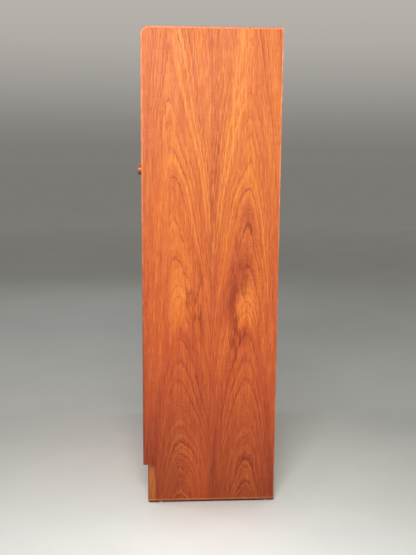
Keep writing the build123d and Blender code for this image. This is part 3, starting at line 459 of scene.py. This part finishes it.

# Tints of painted shade: for the lower ends of upright strips, the plinth's sawn ends and the knob's
# underside.
# The knob's dark top is a painted reflection.
UPRIGHT_FOOT_SHADE = (0.66, 0.52, 0.50)
REAR_FOOT_SHADE = (0.62, 0.50, 0.60)
BAND_FOOT_SHADE = (0.36, 0.26, 0.36)
PLINTH_END_SHADE = (0.50, 0.42, 0.40)
KNOB_UNDER_SHADE = (0.20, 0.13, 0.17)
KNOB_TOP_REFLECTION = (0.45, 0.34, 0.26)

# How fast the grain changes along x, y and z.
ALONG_X = (0.012, 1.0, 1.0)
ALONG_Z = (1.0, 1.0, 0.012)
UPRIGHT_RINGS = (1.0, 1.0, 0.06)

# How rough wood is.
VARNISHED = 0.46
RAW = 0.6


def palette_ramp(n, tone, palette):
    """Dark, mid and light wood at these tones."""
    return n.ramp(tone, *zip((0.2, 0.5, 0.8), palette))


def straight_grain(n, stretch, ring_pitch):
    """Long straight streaks, with rings so far apart. Gives the tone, the streaks and the fibre."""
    place = n.stretched(*stretch)
    bands = n.noise(place, 0.28 / ring_pitch, 2.0, 0.55)
    streaks = n.noise(place, 1.2 / ring_pitch, 2.0, 0.6)
    fibre = n.noise(place, 3.6 / ring_pitch, 1.0, 0.6)
    tone = n.add(n.scaled(bands, 0.9, 0.05), n.around_zero(streaks, 0.5), n.around_zero(fibre, 0.3))
    return tone, streaks, fibre


def finish_wood(n, colour, streaks, fibre, roughness):
    rough = n.add(n.scaled(streaks, 0.15, roughness - 0.07), n.around_zero(fibre, 0.1))
    return n.finish(colour, rough, n.add(fibre, streaks), 0.2, 0.0003, Specular_IOR_Level=SOLID_SHINE)


def straight_wood(name, stretch, palette, ring_pitch=0.004, roughness=VARNISHED, foot=None, scuff=None):
    """Plain wood. foot is the painted shade tint that the lower end fades to, and scuff the colour of worn
    patches.
    """
    n = Nodes(name)
    tone, streaks, fibre = straight_grain(n, stretch, ring_pitch)
    colour = palette_ramp(n, tone, palette)
    if scuff:
        pale_marks = n.noise(n.stretched(*[max(scale, 0.2) for scale in stretch]), 90.0, 3.0, 0.7)
        colour = n.mix(n.smooth(pale_marks, 0.40, 0.66, 0.15, 0.75), colour, scuff)
    if foot:
        # Painted shade towards the lower end, then painted contact shadow at the foot.
        colour = n.tint(n.smooth(n.z, 0.15, 0.85 * TOP_Z, 1.0, 0.0), colour, foot)
        colour = contact_shaded_foot(n, colour)
    return finish_wood(n, colour, streaks, fibre, roughness)


def plinth_wood():
    """Yellow-brown hardwood: long fine lines along the front, and upright rings on the sawn ends.

    Painted shade darkens the ends along their front and top edges.
    """
    n = Nodes("plinth_wood")
    low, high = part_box("plinth_front_rail")
    sawn_end = n.smooth(n.absolute(n.split(n.normal)["X"]), 0.6, 0.8)
    front_tone, streaks, fibre = straight_grain(n, ALONG_X, 0.0075)
    end_tone = n.scaled(straight_grain(n, UPRIGHT_RINGS, 0.0035)[0], 1.9, -0.40)
    tone = n.add(n.times(end_tone, sawn_end), n.times(front_tone, n.minus(1.0, sawn_end)))
    # Painted shade on the sawn ends, along their front and top edges.
    front_edge = n.smooth(n.y, low.y, low.y + 0.007, 0.85, 0.0)
    top_edge = n.smooth(n.z, high.z - 0.020, high.z - 0.004, 0.0, 0.6)
    dull = n.times(sawn_end, n.math("MAXIMUM", front_edge, top_edge))
    colour = n.tint(dull, palette_ramp(n, tone, PLINTH), PLINTH_END_SHADE)
    return finish_wood(n, contact_shaded_foot(n, colour), streaks, fibre, VARNISHED)


def rotary_plywood():
    """Plywood peeled round the log: faint contours drawn out along the height, with short dark pores."""
    n = Nodes("plywood")
    swell = n.noise(n.stretched(3.4, 3.4, 0.55), 1.0, 2.0, 0.45)
    contour = n.add(swell, n.times(n.noise(n.place, 9.0), 0.03))
    bands = n.line_noise(contour, 46.0, 2.0, 0.6)
    _, streaks, fibre = straight_grain(n, ALONG_Z, 0.006)
    tone = n.add(n.scaled(bands, 0.8, 0.1), n.around_zero(streaks, 0.3), n.around_zero(fibre, 0.3))
    pores = n.smooth(n.noise(n.stretched(900.0, 900.0, 45.0)), 0.62, 0.72, 0.0, 0.35)
    colour = n.mix(pores, palette_ramp(n, tone, PLYWOOD), PLYWOOD_PORE)
    return finish_wood(n, colour, streaks, fibre, RAW)


def knob_teak():
    """Turned teak under a hard varnish: end-grain arcs on orange wood, with painted shade underneath and a
    painted reflection darkening the top.
    """
    n = Nodes("knob_teak")
    low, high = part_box("right_door_knob")
    radius = (high.z - low.z) / 2
    level = n.minus(n.z, low.z + radius)
    sideways = n.absolute(n.minus(n.x, (low.x + high.x) / 2))
    arcs = n.add(sideways, n.times(level, 0.35), n.times(n.noise(n.place, 90.0), 0.006))
    bands = n.line_noise(arcs, 420.0, 2.0, 0.6)
    fibre = n.noise(n.stretched(1.0, 0.2, 1.0), 900.0, 2.0, 0.6)
    colour = palette_ramp(n, n.add(n.scaled(bands, 0.8, 0.1), n.around_zero(fibre, 0.3)), KNOB)
    # Painted shade under the knob, then a painted reflection darkening its top.
    colour = n.tint(n.smooth(level, -0.85 * radius, 0.2 * radius, 1.0, 0.0), colour, KNOB_UNDER_SHADE)
    colour = n.tint(n.smooth(level, 0.60 * radius, 0.95 * radius), colour, KNOB_TOP_REFLECTION)
    roughness = n.scaled(fibre, 0.14, 0.25)
    return n.finish(colour, roughness, fibre, 0.1, 0.0002, Coat_Weight=0.15, Coat_Roughness=0.15)


# Metal and plastic ------------------------------------------------------------------------------

# Each metal is (colour, tarnish, roughness).
HINGE_BRASS = ((0.62, 0.42, 0.16), (0.30, 0.19, 0.08), 0.34)
RAIL_BRASS = ((0.72, 0.52, 0.22), (0.45, 0.30, 0.12), 0.24)
STEEL = ((0.55, 0.55, 0.56), (0.35, 0.33, 0.31), 0.34)
CREAM = (0.66, 0.58, 0.42)
CREAM_DIRT = (0.42, 0.36, 0.26)


def metal(name, colour, tarnish, roughness):
    """Metal with fine scratches, dull and darker in spots."""
    n = Nodes(name)
    spots = n.noise(n.place, 220.0, 4.0, 0.65)
    scratches = n.noise(n.place, 1320.0, 2.0, 0.7)
    shade = n.mix(n.smooth(spots, 0.45, 0.75, 0.0, 0.8), colour, tarnish)
    rough = n.add(n.scaled(spots, 0.25, roughness - 0.12), n.around_zero(scratches, 0.12))
    return n.finish(shade, rough, scratches, 0.08, 0.0002, Metallic=1.0)


def cream_plastic():
    """Moulded plastic with a fine grain, a little yellowed in patches."""
    n = Nodes("catch_plastic")
    grain = n.noise(n.place, 1800.0)
    dirt = n.smooth(n.noise(n.place, 60.0, 3.0), 0.5, 0.8, 0.0, 0.3)
    return n.finish(n.mix(dirt, CREAM, CREAM_DIRT), n.scaled(grain, 0.15, 0.38), grain, 0.1, 0.0002)


# Dressing the CAD nodes -------------------------------------------------------------------------


def dress(material, *names):
    """Give these CAD nodes that material."""
    for name in names:
        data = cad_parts[name].data
        data.materials.clear()
        data.materials.append(material)
        for polygon in data.polygons:
            polygon.material_index = 0


def both(name):
    """The names of a left and a right node."""
    return f"left_{name}", f"right_{name}"


# Each side is (name, its side panel's seed, its door's seed).
SIDE_SEEDS = (("right", 0.0, 11.7), ("left", 5.3, 17.8))
TOP_SEED = 31.0


def dress_veneers():
    """The grain stands upright on the sides and doors, and lies along the top."""
    upright = ("z", TOP_Z / 2)
    across_depth = ("y", MID_Y)
    for side, side_seed, door_seed in SIDE_SEEDS:
        veneer = CrownVeneer(f"{side}_side_veneer", across_depth, upright, DEPTH / 2, side_seed)
        dress(veneer.build(), f"{side}_side_panel")
        low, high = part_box(f"{side}_door_panel")
        across_door = ("x", (low.x + high.x) / 2)
        veneer = CrownVeneer(f"{side}_door_veneer", across_door, upright, (high.x - low.x) / 2, door_seed)
        dress(veneer.build(), f"{side}_door_panel")
    veneer = CrownVeneer("top_veneer", across_depth, ("x", 0.0), DEPTH / 2, TOP_SEED)
    dress(veneer.build(), "top_panel")


def dress_solid_wood():
    upright = straight_wood("upright_lipping", ALONG_Z, LIPPING, foot=UPRIGHT_FOOT_SHADE, scuff=SCUFF)
    rear = straight_wood("rear_lipping", ALONG_Z, LIPPING, foot=REAR_FOOT_SHADE, scuff=PALE_SCUFF)
    band = straight_wood("edge_band", ALONG_Z, LIPPING, foot=BAND_FOOT_SHADE, scuff=PINK_SCUFF)
    cross = straight_wood("cross_lipping", ALONG_X, LIPPING, scuff=SCUFF)
    dress(band, *both("side_edge_band"))
    dress(rear, *both("side_rear_lipping"))
    dress(upright, *both("door_upright_lippings"))
    dress(cross, "top_nosing", "bottom_front_lipping", *both("door_cross_lippings"))
    dress(plinth_wood(), "plinth_front_rail")
    dress(knob_teak(), *both("door_knob"))


def dress_inside():
    shelves = ("hat_shelf", "lower_shelf", "middle_shelf", "upper_shelf")
    dress(straight_wood("inside_cross", ALONG_X, INSIDE), "bottom_panel", *shelves)
    dress(straight_wood("inside_upright", ALONG_Z, INSIDE), "divider_panel")
    dress(rotary_plywood(), "back_panel")
    framing = straight_wood("framing_wood", ALONG_X, RAW_WOOD, 0.005, RAW)
    dress(framing, "plinth_back_rail", "plinth_glue_blocks", "carcase_dowels")


def dress_fittings():
    brass = metal("hinge_brass", *HINGE_BRASS)
    rail_brass = metal("rail_brass", *RAIL_BRASS)
    steel = metal("steel", *STEEL)
    dress(brass, *[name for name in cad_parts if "hinge" in name], *both("door_screws"))
    dress(rail_brass, "hanging_rail", *both("rail_socket"))
    dress(steel, "back_panel_screws", "fitting_screws", "catch_pole_plates", "shelf_pegs", "floor_glides")
    dress(steel, *both("knob_screw"), *both("door_strike_plates"))
    dress(cream_plastic(), *both("door_catches"))


# The studio -------------------------------------------------------------------------------------

# The floor carries a painted pool of light: palest at one place, darker farther off and paler again far
# away.
# Each step is (distance from there in parts of FLOOR_REACH, shade).
FLOOR_LIGHT_CENTRE = (1.3, 0.0, 0.0)
FLOOR_REACH = 20.0
FLOOR_LIGHT_POOL = (
    (0.015, (1.0, 1.0, 1.0)),
    (0.05, (0.84, 0.835, 0.82)),
    (0.10, (0.52, 0.515, 0.50)),
    (0.20, (0.41, 0.405, 0.395)),
    (0.28, (0.46, 0.455, 0.44)),
    (0.60, (0.66, 0.65, 0.63)),
)
FLOOR_PAINT = ((0.3, (0.80, 0.845, 0.84)), (0.7, (0.87, 0.915, 0.91)))
FLOOR_HALF_WIDTH = 60.0

# Each step of the sky is (height, brightness).
SKY = ((0.0, 0.205), (0.03, 0.24), (0.08, 0.335), (0.13, 0.42), (0.18, 0.46), (0.30, 0.34), (1.0, 0.28))
SKY_TINT = (1.03, 0.97, 0.90)

WARM_WHITE = (1.0, 0.98, 0.95)
WHITE = (1.0, 1.0, 1.0)
# Each light is (name, place, what it points at, width and height, watts, colour).
LIGHTS = (
    ("key", (2.7, -0.3, 2.15), (0.5, 0.1, 1.25), (1.0, 0.8), 66.0, WARM_WHITE),
    ("front_fill", (-0.8, -4.5, 2.6), (0.0, 0.0, 0.9), (2.4, 1.8), 78.0, WHITE),
    ("back_fill", (-1.2, 4.0, 2.8), (0.0, 0.0, 0.9), (2.4, 1.8), 40.0, WHITE),
    ("left_fill", (-4.0, -0.6, 2.4), (-0.5, 0.0, 0.9), (2.0, 1.8), 20.0, WHITE),
)


def floor_paint():
    n = Nodes("studio_floor")
    mottle = n.noise(n.place, 1.7, 4.0, 0.6)
    distance = n.new("ShaderNodeVectorMath", {"operation": "DISTANCE"})
    n.put(distance.inputs[0], n.place)
    n.put(distance.inputs[1], FLOOR_LIGHT_CENTRE)
    # Painted pool of light across the floor.
    shade = n.ramp(n.times(distance.outputs["Value"], 1 / FLOOR_REACH), *FLOOR_LIGHT_POOL)
    colour = n.tint(1.0, n.ramp(mottle, *FLOOR_PAINT), shade)
    return n.finish(colour, n.scaled(mottle, 0.2, 0.6), mottle, 0.03, 0.001)


def add_floor():
    reach = FLOOR_HALF_WIDTH
    corners = [(-reach, -reach, 0), (reach, -reach, 0), (reach, reach, 0), (-reach, reach, 0)]
    mesh = bpy.data.meshes.new("studio_floor")
    mesh.from_pydata(corners, [], [(0, 1, 2, 3)])
    mesh.materials.append(floor_paint())
    floor = bpy.data.objects.new("studio_floor", mesh)
    bpy.context.scene.collection.objects.link(floor)


def add_sky():
    """Soft grey surroundings, brightest a little above eye level."""
    world = bpy.data.worlds.new("studio")
    world.use_nodes = True
    bpy.context.scene.world = world
    tree = world.node_tree
    place = tree.nodes.new("ShaderNodeTexCoord")
    split = tree.nodes.new("ShaderNodeSeparateXYZ")
    ramp = tree.nodes.new("ShaderNodeValToRGB")
    tree.links.new(place.outputs["Generated"], split.inputs[0])
    tree.links.new(split.outputs["Z"], ramp.inputs["Fac"])
    elements = ramp.color_ramp.elements
    while len(elements) < len(SKY):
        elements.new(0.5)
    for element, (height, brightness) in zip(elements, SKY):
        element.position = height
        element.color = (*[brightness * part for part in SKY_TINT], 1.0)
    tree.links.new(ramp.outputs["Color"], tree.nodes["Background"].inputs["Color"])


def add_light(name, place, target, size, watts, colour):
    data = bpy.data.lights.new(name, "AREA")
    data.shape = "RECTANGLE"
    data.size, data.size_y = size
    data.energy = watts
    data.color = colour
    light = bpy.data.objects.new(name, data)
    light.location = place
    light.rotation_euler = (Vector(target) - Vector(place)).to_track_quat("-Z", "Y").to_euler()
    light.visible_camera = False
    bpy.context.scene.collection.objects.link(light)


add_camera()
dress_veneers()
dress_solid_wood()
dress_inside()
dress_fittings()
add_floor()
add_sky()
for light in LIGHTS:
    add_light(*light)
bpy.context.scene.view_settings.view_transform = "Standard"
